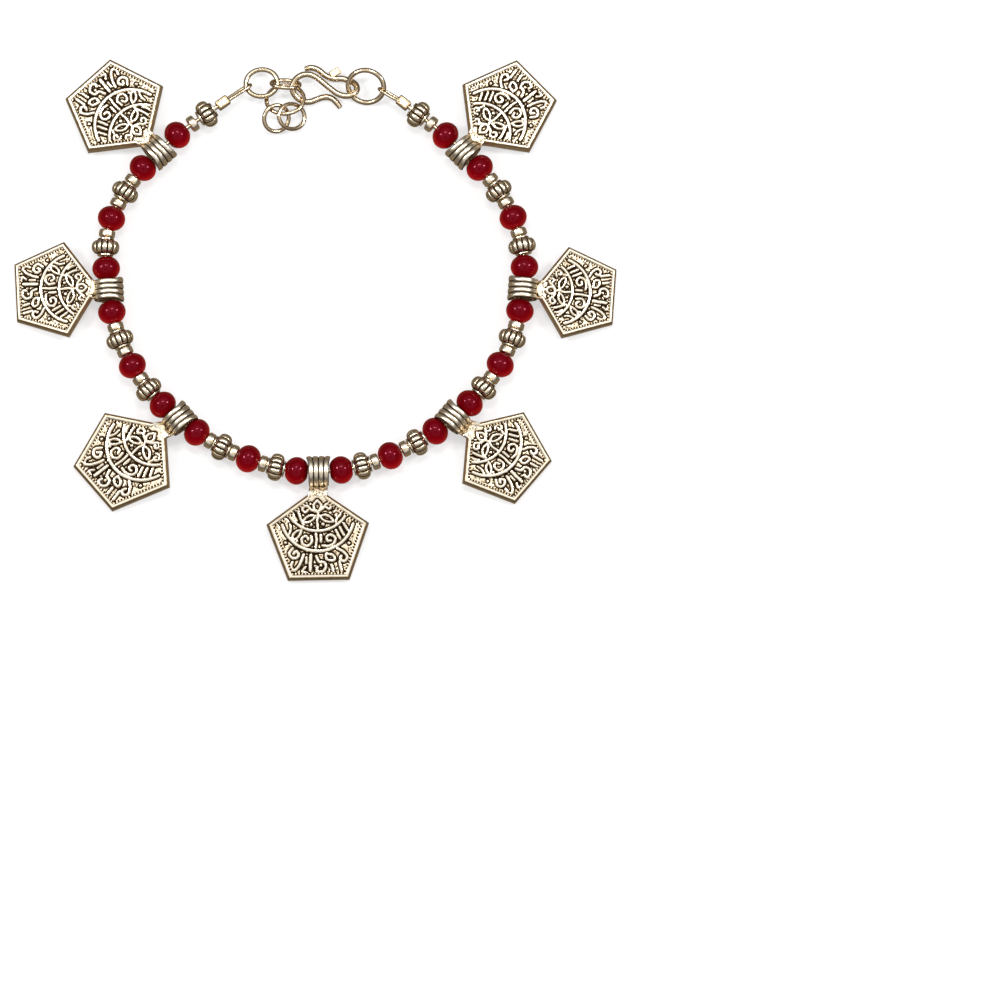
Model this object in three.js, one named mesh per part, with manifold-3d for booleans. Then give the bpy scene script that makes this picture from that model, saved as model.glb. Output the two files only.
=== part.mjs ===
// Payal anklet: seven cast pentagon pendants, red glass beads, ribbed metal beads and small
// spacers on one wire, closed by an S-hook between end rings.
// Millimetres, +Z up. The anklet lies on the plane z = 0 with its clasp towards +Y.
import * as THREE from 'three';
import * as BufferGeometryUtils from 'three/addons/utils/BufferGeometryUtils.js';
import Module from 'manifold-3d';

const wasm = await Module();
wasm.setup();

// Beads and their wire
const redBeadDiameter = 6.0;
const redBeadLength = 4.82;
const redBeadBendShare = 0.56;
const redBeadPoleShare = 1.11;
const ribbedBeadDiameter = 6.0;
const ribbedBeadLength = 3.82;
const bellyShare = 0.32;
const collarDiameter = 3.2;
const ribDepth = 0.35;
const spacerDiameter = 3.5;
const spacerLength = 1.62;
const spacerFaceShare = 0.8;
const stringWireDiameter = 0.9;
const wireClearance = 0.3;
const threadGap = 0.15;
const redBeadSides = 10;
const ribCount = 8;
const spacerSides = 10;
const stringWireSides = 5;
const wireSides = 6;
const wireSteps = 52;

// Pendants
const bailDiameter = 6.4;
const bailLength = 4.34;
const bailBoreDiameter = 4.3;
const bailRidgeDepth = 0.35;
const bailRidges = 4;
const bailSides = 10;
const plateLength = 19.1;
const plateWidth = 21.0;
const footWidth = 12.6;
const shoulderShare = 0.39;
const plateThickness = 2.0;
const edgeDraft = 0.45;
const rimWidth = 0.5;
const reliefHeight = 0.3;
const neckWidthAtBail = 3.7;
const neckWidthAtPlate = 4.4;
const neckLength = 1.7;
const plateRise = 0.55;
const arcBandWidth = 0.7;
const outerArcRadius = 7.5;
const outerArcShare = 0.688;
const outerArcHalfTurn = 1.25;
const outerArcSegments = 4;
const innerArcRadius = 6.8;
const innerArcShare = 0.47;
const innerArcHalfTurn = 0.95;
const innerArcSegments = 3;
const curlBandWidth = 0.5;
const curlHalfGap = 0.8;
const curlSegments = 3;

// Clasp
const crimpLength = 2.9;
const crimpWidth = 2.1;
const crimpChamfer = 0.35;
const crimpWindowDepth = 0.25;
const crimpWindowWidth = 1.05;
const crimpWindowLength = 1.6;
const crimpSocketDepth = 1.2;
const crimpSocketSides = 10;
const eyeSeat = 0.72;
const eyeWireDiameter = 0.7;
const hookWireDiameter = 1.3;
const linkClearance = 0.15;
const ringSides = 12;
const hookSteps = 36;
const tagLength = 2.4;
const tagWidth = 1.7;
const tagThickness = 0.7;
const tagPastWire = 0.1;
const tagOverWire = 0.35;
const tagTurn = 0.6;
const tagOnHookPoint = 4.2;

// The string lies level, its centre as high as the widest bead's radius.
const stringHeight = Math.max(redBeadDiameter, ribbedBeadDiameter) / 2;

// Route of the string in plan, from the left crimp round to the right one: chosen points.
const stringRoute = [
  [-19.7, 36.5],
  [-31.3, 27.9],
  [-39.6, 18.6],
  [-44.3, 8.7],
  [-44.4, -2.4],
  [-42.0, -14.2],
  [-36.3, -25.0],
  [-27.2, -33.9],
  [-16.0, -40.4],
  [-3.6, -43.8],
  [9.1, -43.0],
  [21.3, -38.0],
  [32.2, -30.2],
  [40.2, -20.1],
  [44.3, -8.0],
  [44.8, 4.1],
  [40.7, 15.4],
  [31.9, 26.0],
  [19.1, 36.5],
];

// What the wire carries between the pendants, with the play left in each stretch as a share
// of a red bead's length.
const stretches = [
  { play: 0.63, pieces: ['ribbed', 'spacer', 'red'] },
  { play: 0.22, pieces: ['red', 'spacer', 'ribbed', 'spacer', 'red', 'spacer', 'ribbed', 'red'] },
  { play: 0.04, pieces: ['red', 'spacer', 'ribbed', 'spacer', 'red', 'spacer', 'ribbed', 'red'] },
  { play: 0.0, pieces: ['red', 'spacer', 'ribbed', 'spacer', 'red', 'spacer', 'ribbed', 'red'] },
  { play: 0.17, pieces: ['red', 'ribbed', 'spacer', 'red', 'spacer', 'ribbed', 'red'] },
  { play: 0.01, pieces: ['red', 'ribbed', 'spacer', 'red', 'spacer', 'ribbed', 'spacer', 'red'] },
  { play: 0.28, pieces: ['red', 'ribbed', 'spacer', 'red', 'spacer', 'ribbed', 'spacer', 'red'] },
  { play: 0.49, pieces: ['red', 'spacer', 'ribbed'] },
];

// Each casting's plate is a little longer, shorter, wider or narrower than the named size, its
// apex stands apart from the bail's crest or reaches into the bail's wall, a little aside of its
// middle, and the casting hangs turned some degrees on the wire.
const castings = [
  { long: 1.05, wide: 1.03, apart: -0.85, aside: 0.4, turn: -2.6 },
  { long: 0.95, wide: 0.99, apart: -1.3, aside: -0.8, turn: -4.2 },
  { long: 1.09, wide: 1.02, apart: -0.2, aside: -0.9, turn: -10 },
  { long: 1.04, wide: 1.05, apart: 0.25, aside: -0.4, turn: 0 },
  { long: 0.98, wide: 0.97, apart: 0.15, aside: 0.7, turn: 10.4 },
  { long: 0.92, wide: 0.95, apart: -1.0, aside: 0.1, turn: 2.2 },
  { long: 1.06, wide: 0.98, apart: -0.9, aside: 0.5, turn: -0.7 },
];

// Sizes of the clasp's rings, outside: length along X, width along Y, and wire.
const ringSizes = {
  ring_left: { length: 7.9, width: 7.05, wire: 1.05 },
  ring_joining: { length: 7.0, width: 5.1, wire: 0.9 },
  ring_spare: { length: 9.0, width: 8.1, wire: 0.9 },
  ring_drop_1: { length: 6.6, width: 6.6, wire: 0.9 },
  ring_drop_2: { length: 7.4, width: 6.3, wire: 0.9 },
  ring_right: { length: 9.0, width: 8.4, wire: 1.1 },
};

// Route of the clasp: chosen place of each ring, and its lean about X, then about Y, in degrees.
const claspRoute = {
  ring_left: { at: [-11.35, 41.02, 2.15], lean: [-3.8, -5.5] },
  ring_joining: { at: [-6.22, 40.77, 2.24], lean: [-56.7, 9.3] },
  ring_spare: { at: [-6.31, 37.45, 1.78], lean: [-21.1, -4.5] },
  ring_drop_1: { at: [-8.18, 33.28, 2.16], lean: [17.7, 23.6] },
  ring_drop_2: { at: [-4.9, 33.68, 2.25], lean: [7.9, 33.0] },
  ring_right: { at: [11.05, 40.21, 2.51], lean: [28.6, -14.7] },
};

// Route of the hook's wire, from the tail over the left eye to the other tail: chosen points.
const hookRoute = [
  [-2.12, 44.37, 0.7],
  [-0.86, 44.66, 0.7],
  [0.73, 44.22, 0.7],
  [2.31, 42.96, 0.7],
  [4.09, 42.26, 0.7],
  [5.87, 42.26, 0.7],
  [7.39, 41.81, 0.8],
  [8.57, 41.15, 1.1],
  [9.13, 39.97, 1.6],
  [8.46, 38.73, 2.1],
  [6.94, 38.15, 2.3],
  [5.16, 38.54, 2.3],
  [3.39, 39.76, 2.3],
  [1.61, 41.26, 2.3],
  [0.0, 42.46, 2.3],
  [-1.59, 42.9, 2.3],
  [-3.36, 42.42, 2.3],
  [-4.44, 41.25, 2.1],
  [-4.78, 39.83, 1.9],
  [-4.07, 38.33, 1.3],
  [-2.68, 37.37, 0.8],
  [-1.05, 37.17, 0.7],
  [0.54, 37.74, 0.7],
  [2.14, 38.22, 0.7],
  [3.56, 38.02, 0.7],
  [4.61, 37.17, 0.7],
  [5.53, 35.91, 0.7],
];

// The ring that each crimp's eye holds, the place on that ring and the eye's roll, in degrees.
const crimpHolds = {
  left_crimp: { ring: 'ring_left', angle: 197, roll: 25 },
  right_crimp: { ring: 'ring_right', angle: -20, roll: -25 },
};

// Fineness of the route's measured length, and of its fit to the string
const routeDivisions = 1500;
const fitRounds = 12;

// Finishes
const glassRed = { color: 0xa80018, roughness: 0.12, metalness: 0.0 };
const oxidisedSilver = { color: 0xb5a78c, roughness: 0.38, metalness: 1.0 };
const polishedSilver = { color: 0xcfc3a8, roughness: 0.22, metalness: 1.0 };

const anklet = new THREE.Group();
anklet.name = 'payal_anklet';

function addPiece(name, geometry, finish, matrix) {
  const mesh = new THREE.Mesh(geometry, new THREE.MeshStandardMaterial(finish));
  mesh.name = name;
  if (matrix) {
    mesh.applyMatrix4(matrix);
  }
  anklet.add(mesh);
  return mesh;
}

function twoDigits(number) {
  return String(number).padStart(2, '0');
}

// Solids for cutting and joining

function toSolid(geometry, matrix) {
  const bare = geometry.clone();
  bare.deleteAttribute('normal');
  bare.deleteAttribute('uv');
  if (matrix) {
    bare.applyMatrix4(matrix);
  }
  const merged = BufferGeometryUtils.mergeVertices(bare, 1e-4);
  return new wasm.Manifold(new wasm.Mesh({
    numProp: 3,
    vertProperties: new Float32Array(merged.attributes.position.array),
    triVerts: new Uint32Array(merged.index.array),
  }));
}

function toGeometry(solid) {
  const mesh = solid.getMesh();
  const geometry = new THREE.BufferGeometry();
  geometry.setAttribute('position', new THREE.BufferAttribute(mesh.vertProperties, 3));
  geometry.setIndex(new THREE.BufferAttribute(mesh.triVerts, 1));
  geometry.computeVertexNormals();
  return geometry;
}

function joinAll(solids) {
  return solids.reduce((whole, piece) => whole.add(piece));
}

// A turned profile, given as [radius, place along the axis] pairs; a drilled one closes on itself.
function turned(profile, sides, drilled) {
  const points = profile.map(([radius, along]) => new THREE.Vector2(radius, along));
  if (drilled) {
    points.push(points[0].clone());
  }
  return new THREE.LatheGeometry(points, sides);
}

// The axis of a turned piece (its Y) goes along the thread, its Z stays up.
function threadFrame(point, direction) {
  const along = direction.clone().normalize();
  const up = new THREE.Vector3(0, 0, 1);
  const across = new THREE.Vector3().crossVectors(along, up);
  return new THREE.Matrix4().makeBasis(across, along, up).setPosition(point);
}

// Beads

const beadBore = stringWireDiameter / 2 + wireClearance;

function redBead() {
  const radius = redBeadDiameter / 2;
  const end = redBeadLength / 2;
  const bend = redBeadBendShare * end;
  const poleHeight = redBeadPoleShare * end;
  const radiusAt = (along) => radius * Math.sqrt(1 - (along / poleHeight) ** 2);
  return turned([
    [beadBore, -end],
    [radiusAt(end), -end],
    [radiusAt(bend), -bend],
    [radius, 0],
    [radiusAt(bend), bend],
    [radiusAt(end), end],
    [beadBore, end],
  ], redBeadSides, true);
}

// Every other column of the belly is drawn in, which leaves the ribs standing.
function ribbedBead() {
  const radius = ribbedBeadDiameter / 2;
  const end = ribbedBeadLength / 2;
  const belly = bellyShare * end;
  const bead = turned([
    [beadBore, -end],
    [collarDiameter / 2, -end],
    [radius, -belly],
    [radius, belly],
    [collarDiameter / 2, end],
    [beadBore, end],
  ], 2 * ribCount, true);
  const places = bead.attributes.position;
  const column = Math.PI / ribCount;
  for (let i = 0; i < places.count; i += 1) {
    const reach = Math.hypot(places.getX(i), places.getZ(i));
    const turn = Math.atan2(places.getX(i), places.getZ(i));
    const isGroove = Math.abs(Math.round(turn / column)) % 2 === 1;
    if (isGroove && reach > radius - 1e-3) {
      const share = (reach - ribDepth) / reach;
      places.setX(i, places.getX(i) * share);
      places.setZ(i, places.getZ(i) * share);
    }
  }
  return bead;
}

function spacerBead() {
  const radius = spacerDiameter / 2;
  const end = spacerLength / 2;
  const face = spacerFaceShare * radius;
  return turned([[0, -end], [face, -end], [radius, 0], [face, end], [0, end]], spacerSides, false);
}

// The string: its pieces in order, and the route stretched so that they just fill it

const pieceLengths = {
  red: redBeadLength,
  ribbed: ribbedBeadLength,
  spacer: spacerLength,
  pendant: bailLength,
  crimp: crimpLength,
};

function orderString() {
  const order = [{ kind: 'crimp', station: 0 }];
  let station = 0;
  stretches.forEach((stretch, index) => {
    const isLast = index === stretches.length - 1;
    const kinds = [...stretch.pieces, isLast ? 'crimp' : 'pendant'];
    const gap = threadGap + (stretch.play * redBeadLength) / kinds.length;
    for (const kind of kinds) {
      const before = order[order.length - 1].kind;
      station += (pieceLengths[before] + pieceLengths[kind]) / 2 + gap;
      order.push({ kind, station });
    }
  });
  return order;
}

function routeScaledBy(share) {
  const first = stringRoute[0];
  const last = stringRoute[stringRoute.length - 1];
  const middle = [(first[0] + last[0]) / 2, (first[1] + last[1]) / 2];
  const points = stringRoute.map(([x, y], index) => {
    const isEnd = index === 0 || index === stringRoute.length - 1;
    const grow = isEnd ? 1 : share;
    const placeX = middle[0] + grow * (x - middle[0]);
    const placeY = middle[1] + grow * (y - middle[1]);
    return new THREE.Vector3(placeX, placeY, stringHeight);
  });
  const route = new THREE.CatmullRomCurve3(points, false, 'centripetal');
  route.arcLengthDivisions = routeDivisions;
  return route;
}

function fitRoute(length) {
  let share = 1;
  let route = routeScaledBy(share);
  for (let round = 0; round < fitRounds; round += 1) {
    share *= length / route.getLength();
    route = routeScaledBy(share);
  }
  return route;
}

const order = orderString();
const stringLength = order[order.length - 1].station;
const route = fitRoute(stringLength);

function placeOnString(station) {
  const share = station / stringLength;
  return { point: route.getPointAt(share), direction: route.getTangentAt(share) };
}

// The wire's own stretch of the route, ending inside the crimps' sockets
class StretchOfRoute extends THREE.Curve {
  constructor(from, to) {
    super();
    this.from = from;
    this.to = to;
  }

  getPoint(share, target = new THREE.Vector3()) {
    const station = THREE.MathUtils.lerp(this.from, this.to, share);
    return target.copy(route.getPointAt(THREE.MathUtils.clamp(station / stringLength, 0, 1)));
  }
}

function roundSection(diameter, sides) {
  const shape = new THREE.Shape();
  for (let i = 0; i < sides; i += 1) {
    const turn = (2 * Math.PI * (i + 0.5)) / sides;
    const x = (diameter / 2) * Math.cos(turn);
    const y = (diameter / 2) * Math.sin(turn);
    if (i === 0) {
      shape.moveTo(x, y);
    } else {
      shape.lineTo(x, y);
    }
  }
  shape.closePath();
  return shape;
}

function wireAlong(curve, diameter, sides, steps) {
  return new THREE.ExtrudeGeometry(roundSection(diameter, sides), { extrudePath: curve, steps });
}

function beadWire() {
  const start = crimpLength / 2 - crimpSocketDepth + wireClearance;
  const strand = new StretchOfRoute(start, stringLength - start);
  const solids = [toSolid(wireAlong(strand, stringWireDiameter, stringWireSides, wireSteps))];
  const spacer = spacerBead();
  for (const piece of order.filter(({ kind }) => kind === 'spacer')) {
    const { point, direction } = placeOnString(piece.station);
    solids.push(toSolid(spacer, threadFrame(point, direction)));
  }
  return toGeometry(joinAll(solids));
}

// Pendant, lying along +X from its bail's axis, its thread along Y, its face up

function shapeFrom(points) {
  return new THREE.Shape(points.map(([x, y]) => new THREE.Vector2(x, y)));
}

// The plate's outline, drawn in on every side by the inset; the apex points to the bail.
function plateOutline(inset) {
  const half = plateWidth / 2;
  const foot = footWidth / 2;
  const shoulder = shoulderShare * plateLength;
  const corners = [[0, 0], [shoulder, -half], [plateLength, -foot], [plateLength, foot], [shoulder, half]];
  const sides = corners.map((corner, index) => {
    const next = corners[(index + 1) % corners.length];
    const run = [next[0] - corner[0], next[1] - corner[1]];
    const size = Math.hypot(run[0], run[1]);
    const inward = [-run[1] / size, run[0] / size];
    const offset = inward[0] * corner[0] + inward[1] * corner[1] + inset;
    return { inward, offset };
  });
  return sides.map((side, index) => {
    const before = sides[(index + sides.length - 1) % sides.length];
    const cross = before.inward[0] * side.inward[1] - before.inward[1] * side.inward[0];
    const x = (before.offset * side.inward[1] - side.offset * before.inward[1]) / cross;
    const y = (side.offset * before.inward[0] - before.offset * side.inward[0]) / cross;
    return [x, y];
  });
}

// A slab between two outlines with as many corners, the lower one at z = 0
function taperedSlab(lowOutline, highOutline, height) {
  const slab = new THREE.ExtrudeGeometry(shapeFrom(lowOutline), { depth: height, bevelEnabled: false });
  const places = slab.attributes.position;
  for (let i = 0; i < places.count; i += 1) {
    if (places.getZ(i) > height / 2) {
      const corner = lowOutline.findIndex(([x, y]) => (
        Math.hypot(x - places.getX(i), y - places.getY(i)) < 1e-4
      ));
      places.setX(i, highOutline[corner][0]);
      places.setY(i, highOutline[corner][1]);
    }
  }
  return slab;
}

// A flat band bent round a centre, from one angle to another, on the plate's ground
function bandArc(centre, radius, width, from, to, segments) {
  const band = new THREE.Shape();
  band.absarc(centre[0], centre[1], radius + width / 2, from, to, false);
  band.absarc(centre[0], centre[1], radius - width / 2, to, from, true);
  return new THREE.ExtrudeGeometry(band, {
    depth: 2 * reliefHeight,
    bevelEnabled: false,
    curveSegments: segments,
  });
}

// Curls of the raised ornament: place as shares of the plate's length and half width, radius
// as a share of the plate's length, and the angle at which each opens.
const curls = [
  { along: 0.84, across: -0.4, size: 0.07, opens: 60 },
  { along: 0.85, across: 0.0, size: 0.07, opens: 180 },
  { along: 0.84, across: 0.4, size: 0.07, opens: -60 },
  { along: 0.58, across: -0.27, size: 0.055, opens: 120 },
  { along: 0.58, across: 0.27, size: 0.055, opens: -120 },
  { along: 0.31, across: 0.0, size: 0.07, opens: 0 },
];

function reliefOn(ground) {
  const lift = new THREE.Matrix4().makeTranslation(0, 0, ground - reliefHeight);
  const outerCentre = [outerArcShare * plateLength - outerArcRadius, 0];
  const innerCentre = [innerArcShare * plateLength - innerArcRadius, 0];
  const outerTurn = outerArcHalfTurn;
  const innerTurn = innerArcHalfTurn;
  const bands = [
    bandArc(outerCentre, outerArcRadius, arcBandWidth, -outerTurn, outerTurn, outerArcSegments),
    bandArc(innerCentre, innerArcRadius, arcBandWidth, -innerTurn, innerTurn, innerArcSegments),
  ];
  for (const curl of curls) {
    const opens = THREE.MathUtils.degToRad(curl.opens);
    const centre = [curl.along * plateLength, (curl.across * plateWidth) / 2];
    const radius = curl.size * plateLength;
    const from = opens + curlHalfGap;
    const to = opens + 2 * Math.PI - curlHalfGap;
    bands.push(bandArc(centre, radius, curlBandWidth, from, to, curlSegments));
  }
  return bands.map((band) => toSolid(band, lift));
}

function pendantPlate() {
  const body = toSolid(taperedSlab(plateOutline(0), plateOutline(edgeDraft), plateThickness));
  const pocketOutline = plateOutline(edgeDraft + rimWidth);
  const ground = plateThickness - reliefHeight;
  const lift = new THREE.Matrix4().makeTranslation(0, 0, ground);
  const pocket = toSolid(taperedSlab(pocketOutline, pocketOutline, 2 * reliefHeight), lift);
  const field = toSolid(taperedSlab(pocketOutline, pocketOutline, 2 * plateThickness));
  const relief = joinAll(reliefOn(ground)).intersect(field);
  return body.subtract(pocket).add(relief);
}

function bail() {
  const radius = bailDiameter / 2;
  const pitch = bailLength / bailRidges;
  const profile = [[bailBoreDiameter / 2, -bailLength / 2]];
  for (let ridge = 0; ridge < bailRidges; ridge += 1) {
    const start = -bailLength / 2 + ridge * pitch;
    if (ridge === 0) {
      profile.push([radius - bailRidgeDepth, start]);
    }
    profile.push([radius, start + pitch / 2]);
    profile.push([radius - bailRidgeDepth, start + pitch]);
  }
  profile.push([bailBoreDiameter / 2, bailLength / 2]);
  return toSolid(turned(profile, bailSides, true));
}

// The neck starts inside the bail's wall and ends inside the plate.
function neck(plateStart, aside) {
  const from = (bailDiameter + bailBoreDiameter) / 4;
  const to = plateStart + neckLength + rimWidth;
  const start = neckWidthAtBail / 2;
  const end = neckWidthAtPlate / 2;
  const outline = [[from, -start], [to, aside - end], [to, aside + end], [from, start]];
  return toSolid(taperedSlab(outline, outline, plateThickness - reliefHeight));
}

function pendant(casting) {
  const plateStart = bailDiameter / 2 + casting.apart;
  const underside = plateRise - plateThickness / 2;
  const grow = new THREE.Matrix4().makeScale(casting.long, casting.wide, 1);
  const lowered = new THREE.Matrix4().makeTranslation(0, 0, underside);
  const plate = pendantPlate().transform(grow.elements)
    .translate([plateStart, casting.aside, underside]);
  const stem = neck(plateStart, casting.aside).transform(lowered.elements);
  const clearBore = toSolid(new THREE.CylinderGeometry(
    bailBoreDiameter / 2, bailBoreDiameter / 2, 2 * bailLength, bailSides,
  ));
  const foot = plateStart + casting.long * plateLength;
  const whole = joinAll([bail(), stem, plate]).subtract(clearBore);
  return { solid: whole, foot, underside };
}

// The pendant leans on its bail and on the lower edge of its foot.
function leanOf(foot, underside) {
  const bailHeight = bailDiameter / 2;
  const reach = Math.hypot(foot, underside);
  return Math.asin(bailHeight / reach) + Math.atan2(underside, foot);
}

function addPendant(number, station, casting) {
  const { solid, foot, underside } = pendant(casting);
  const { point, direction } = placeOnString(station);
  const outward = Math.atan2(-direction.x, direction.y) + THREE.MathUtils.degToRad(casting.turn);
  const holder = new THREE.Matrix4().makeTranslation(point.x, point.y, bailDiameter / 2);
  holder.multiply(new THREE.Matrix4().makeRotationZ(outward));
  holder.multiply(new THREE.Matrix4().makeRotationY(leanOf(foot, underside)));
  addPiece(`pendant_${number}`, toGeometry(solid), oxidisedSilver, holder);
}

// Clasp

// A closed ring of round wire round Z, stretched to an oval without thinning its wire
function ovalRing(length, width, wire) {
  const halfLength = (length - wire) / 2;
  const halfWidth = (width - wire) / 2;
  const ring = new THREE.TorusGeometry(halfLength, wire / 2, wireSides, ringSides);
  const places = ring.attributes.position;
  for (let i = 0; i < places.count; i += 1) {
    const turn = Math.atan2(places.getY(i), places.getX(i));
    places.setY(i, places.getY(i) - (halfLength - halfWidth) * Math.sin(turn));
  }
  return toGeometry(toSolid(ring));
}

function ringMatrix(name) {
  const { at, lean } = claspRoute[name];
  const aboutX = new THREE.Matrix4().makeRotationX(THREE.MathUtils.degToRad(lean[0]));
  const aboutY = new THREE.Matrix4().makeRotationY(THREE.MathUtils.degToRad(lean[1]));
  return new THREE.Matrix4().makeTranslation(...at).multiply(aboutY).multiply(aboutX);
}

function pointOnRing(name, degrees) {
  const { length, width, wire } = ringSizes[name];
  const turn = THREE.MathUtils.degToRad(degrees);
  const x = ((length - wire) / 2) * Math.cos(turn);
  const y = ((width - wire) / 2) * Math.sin(turn);
  return new THREE.Vector3(x, y, 0).applyMatrix4(ringMatrix(name));
}

// A long closed eye of wire along X with straight sides, its far bend round the origin
function longEye(length, bendRadius, wire) {
  const eye = new THREE.TorusGeometry(bendRadius, wire / 2, wireSides, ringSides);
  const places = eye.attributes.position;
  for (let i = 0; i < places.count; i += 1) {
    if (places.getX(i) < -1e-3) {
      places.setX(i, places.getX(i) - length);
    }
  }
  return toSolid(eye);
}

function crimpTube() {
  const half = crimpWidth / 2;
  const cut = half - crimpChamfer;
  const section = shapeFrom([
    [-half, -cut], [-cut, -half], [cut, -half], [half, -cut],
    [half, cut], [cut, half], [-cut, half], [-half, cut],
  ]);
  const tube = toSolid(
    new THREE.ExtrudeGeometry(section, { depth: crimpLength, bevelEnabled: false }),
    new THREE.Matrix4().makeTranslation(0, 0, -crimpLength / 2),
  );
  const window = toSolid(
    new THREE.BoxGeometry(2 * crimpWindowDepth, crimpWindowWidth, crimpWindowLength),
    new THREE.Matrix4().makeTranslation(half, 0, 0),
  );
  const socket = toSolid(
    new THREE.CylinderGeometry(beadBore, beadBore, 2 * crimpSocketDepth, crimpSocketSides),
    new THREE.Matrix4().makeTranslation(0, 0, -crimpLength / 2).multiply(
      new THREE.Matrix4().makeRotationX(Math.PI / 2),
    ),
  );
  return tube.subtract(window).subtract(socket);
}

// A crimp stands on the string's end; its eye reaches to the wire of the ring that it holds.
function addCrimp(name, station) {
  const hold = crimpHolds[name];
  const { point, direction } = placeOnString(station);
  const away = direction.clone().multiplyScalar(station === 0 ? -1 : 1);
  const up = new THREE.Vector3(0, 0, 1);
  const side = new THREE.Vector3().crossVectors(away, up);
  const tubeFrame = new THREE.Matrix4().makeBasis(up, side.negate(), away).setPosition(point);
  const tube = crimpTube().transform(tubeFrame.elements);

  const held = pointOnRing(hold.ring, hold.angle);
  const ringWire = ringSizes[hold.ring].wire;
  const bendRadius = (ringWire + eyeWireDiameter) / 2 + linkClearance;
  const reach = held.clone().sub(point);
  const outward = reach.clone().normalize();
  const level = new THREE.Vector3().crossVectors(outward, up).normalize();
  const upright = new THREE.Vector3().crossVectors(level, outward);
  const eyeFrame = new THREE.Matrix4().makeBasis(outward, upright, level).setPosition(held);
  eyeFrame.multiply(new THREE.Matrix4().makeRotationX(THREE.MathUtils.degToRad(hold.roll)));
  const straight = reach.length() - eyeSeat - bendRadius;
  const eye = longEye(straight, bendRadius, eyeWireDiameter).transform(eyeFrame.elements);
  addPiece(name, toGeometry(tube.add(eye)), polishedSilver);
}

function sHook() {
  const points = hookRoute.map((place) => new THREE.Vector3(...place));
  const curve = new THREE.CatmullRomCurve3(points, false, 'centripetal');
  const wire = toSolid(wireAlong(curve, hookWireDiameter, wireSides, hookSteps));
  const seat = curve.getPoint(tagOnHookPoint / (hookRoute.length - 1));
  const frame = new THREE.Matrix4().makeTranslation(
    seat.x,
    seat.y + tagWidth / 2 + tagPastWire,
    seat.z + tagOverWire,
  );
  frame.multiply(new THREE.Matrix4().makeRotationZ(tagTurn));
  const tag = toSolid(new THREE.BoxGeometry(tagWidth, tagLength, tagThickness), frame);
  return wire.add(tag);
}

// Assembly

const counts = { red: 0, ribbed: 0, pendant: 0 };
const redBeadShape = redBead();
const ribbedBeadShape = ribbedBead();
for (const { kind, station } of order) {
  const { point, direction } = placeOnString(station);
  if (kind === 'red') {
    counts.red += 1;
    addPiece(`red_bead_${twoDigits(counts.red)}`, redBeadShape, glassRed, threadFrame(point, direction));
  }
  if (kind === 'ribbed') {
    counts.ribbed += 1;
    const name = `ribbed_bead_${twoDigits(counts.ribbed)}`;
    addPiece(name, ribbedBeadShape, oxidisedSilver, threadFrame(point, direction));
  }
  if (kind === 'pendant') {
    addPendant(counts.pendant + 1, station, castings[counts.pendant]);
    counts.pendant += 1;
  }
}
addPiece('bead_wire', beadWire(), polishedSilver);
addCrimp('left_crimp', 0);
addCrimp('right_crimp', stringLength);
for (const [name, { length, width, wire }] of Object.entries(ringSizes)) {
  addPiece(name, ovalRing(length, width, wire), polishedSilver, ringMatrix(name));
}
addPiece('s_hook', toGeometry(sHook()), polishedSilver);

// The origin lies under the middle of the whole anklet.
anklet.updateMatrixWorld(true);
const extent = new THREE.Box3().setFromObject(anklet, true);
anklet.position.set(
  -(extent.min.x + extent.max.x) / 2,
  -(extent.min.y + extent.max.y) / 2,
  -extent.min.z,
);

export default anklet;
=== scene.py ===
import math
import random

import bpy
import numpy as np
from mathutils import Matrix, Vector


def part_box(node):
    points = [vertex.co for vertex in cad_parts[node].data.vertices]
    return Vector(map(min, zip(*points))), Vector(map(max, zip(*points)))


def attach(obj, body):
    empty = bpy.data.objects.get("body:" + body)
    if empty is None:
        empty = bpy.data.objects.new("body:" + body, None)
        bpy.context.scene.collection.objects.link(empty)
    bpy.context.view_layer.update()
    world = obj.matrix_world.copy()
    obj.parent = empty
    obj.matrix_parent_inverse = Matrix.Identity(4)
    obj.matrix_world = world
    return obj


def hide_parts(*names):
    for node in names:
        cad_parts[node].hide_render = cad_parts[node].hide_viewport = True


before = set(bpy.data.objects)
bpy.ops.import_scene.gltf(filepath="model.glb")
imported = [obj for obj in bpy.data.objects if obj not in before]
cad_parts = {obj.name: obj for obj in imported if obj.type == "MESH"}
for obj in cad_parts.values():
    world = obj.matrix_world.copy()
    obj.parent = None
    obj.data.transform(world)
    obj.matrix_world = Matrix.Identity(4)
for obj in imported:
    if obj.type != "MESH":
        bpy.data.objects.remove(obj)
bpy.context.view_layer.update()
mm = 0.001
shrink = Matrix.Scale(mm, 4)   # pieces are shaped with one unit to the millimetre


def openMesh():
    bpy.ops.object.mode_set(mode="EDIT")


def closeMesh():
    bpy.ops.object.mode_set(mode="OBJECT")


def selectWhole():
    bpy.ops.mesh.select_all(action="SELECT")


def deselectAll():
    if bpy.context.object and bpy.context.object.mode != "OBJECT":
        closeMesh()
    bpy.ops.object.select_all(action="DESELECT")


def selectPoints(piece, test):
    openMesh()
    bpy.ops.mesh.select_mode(type="VERT")
    bpy.ops.mesh.select_all(action="DESELECT")
    closeMesh()
    for vertex in piece.data.vertices:
        vertex.select = test(vertex.co)
    openMesh()


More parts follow.
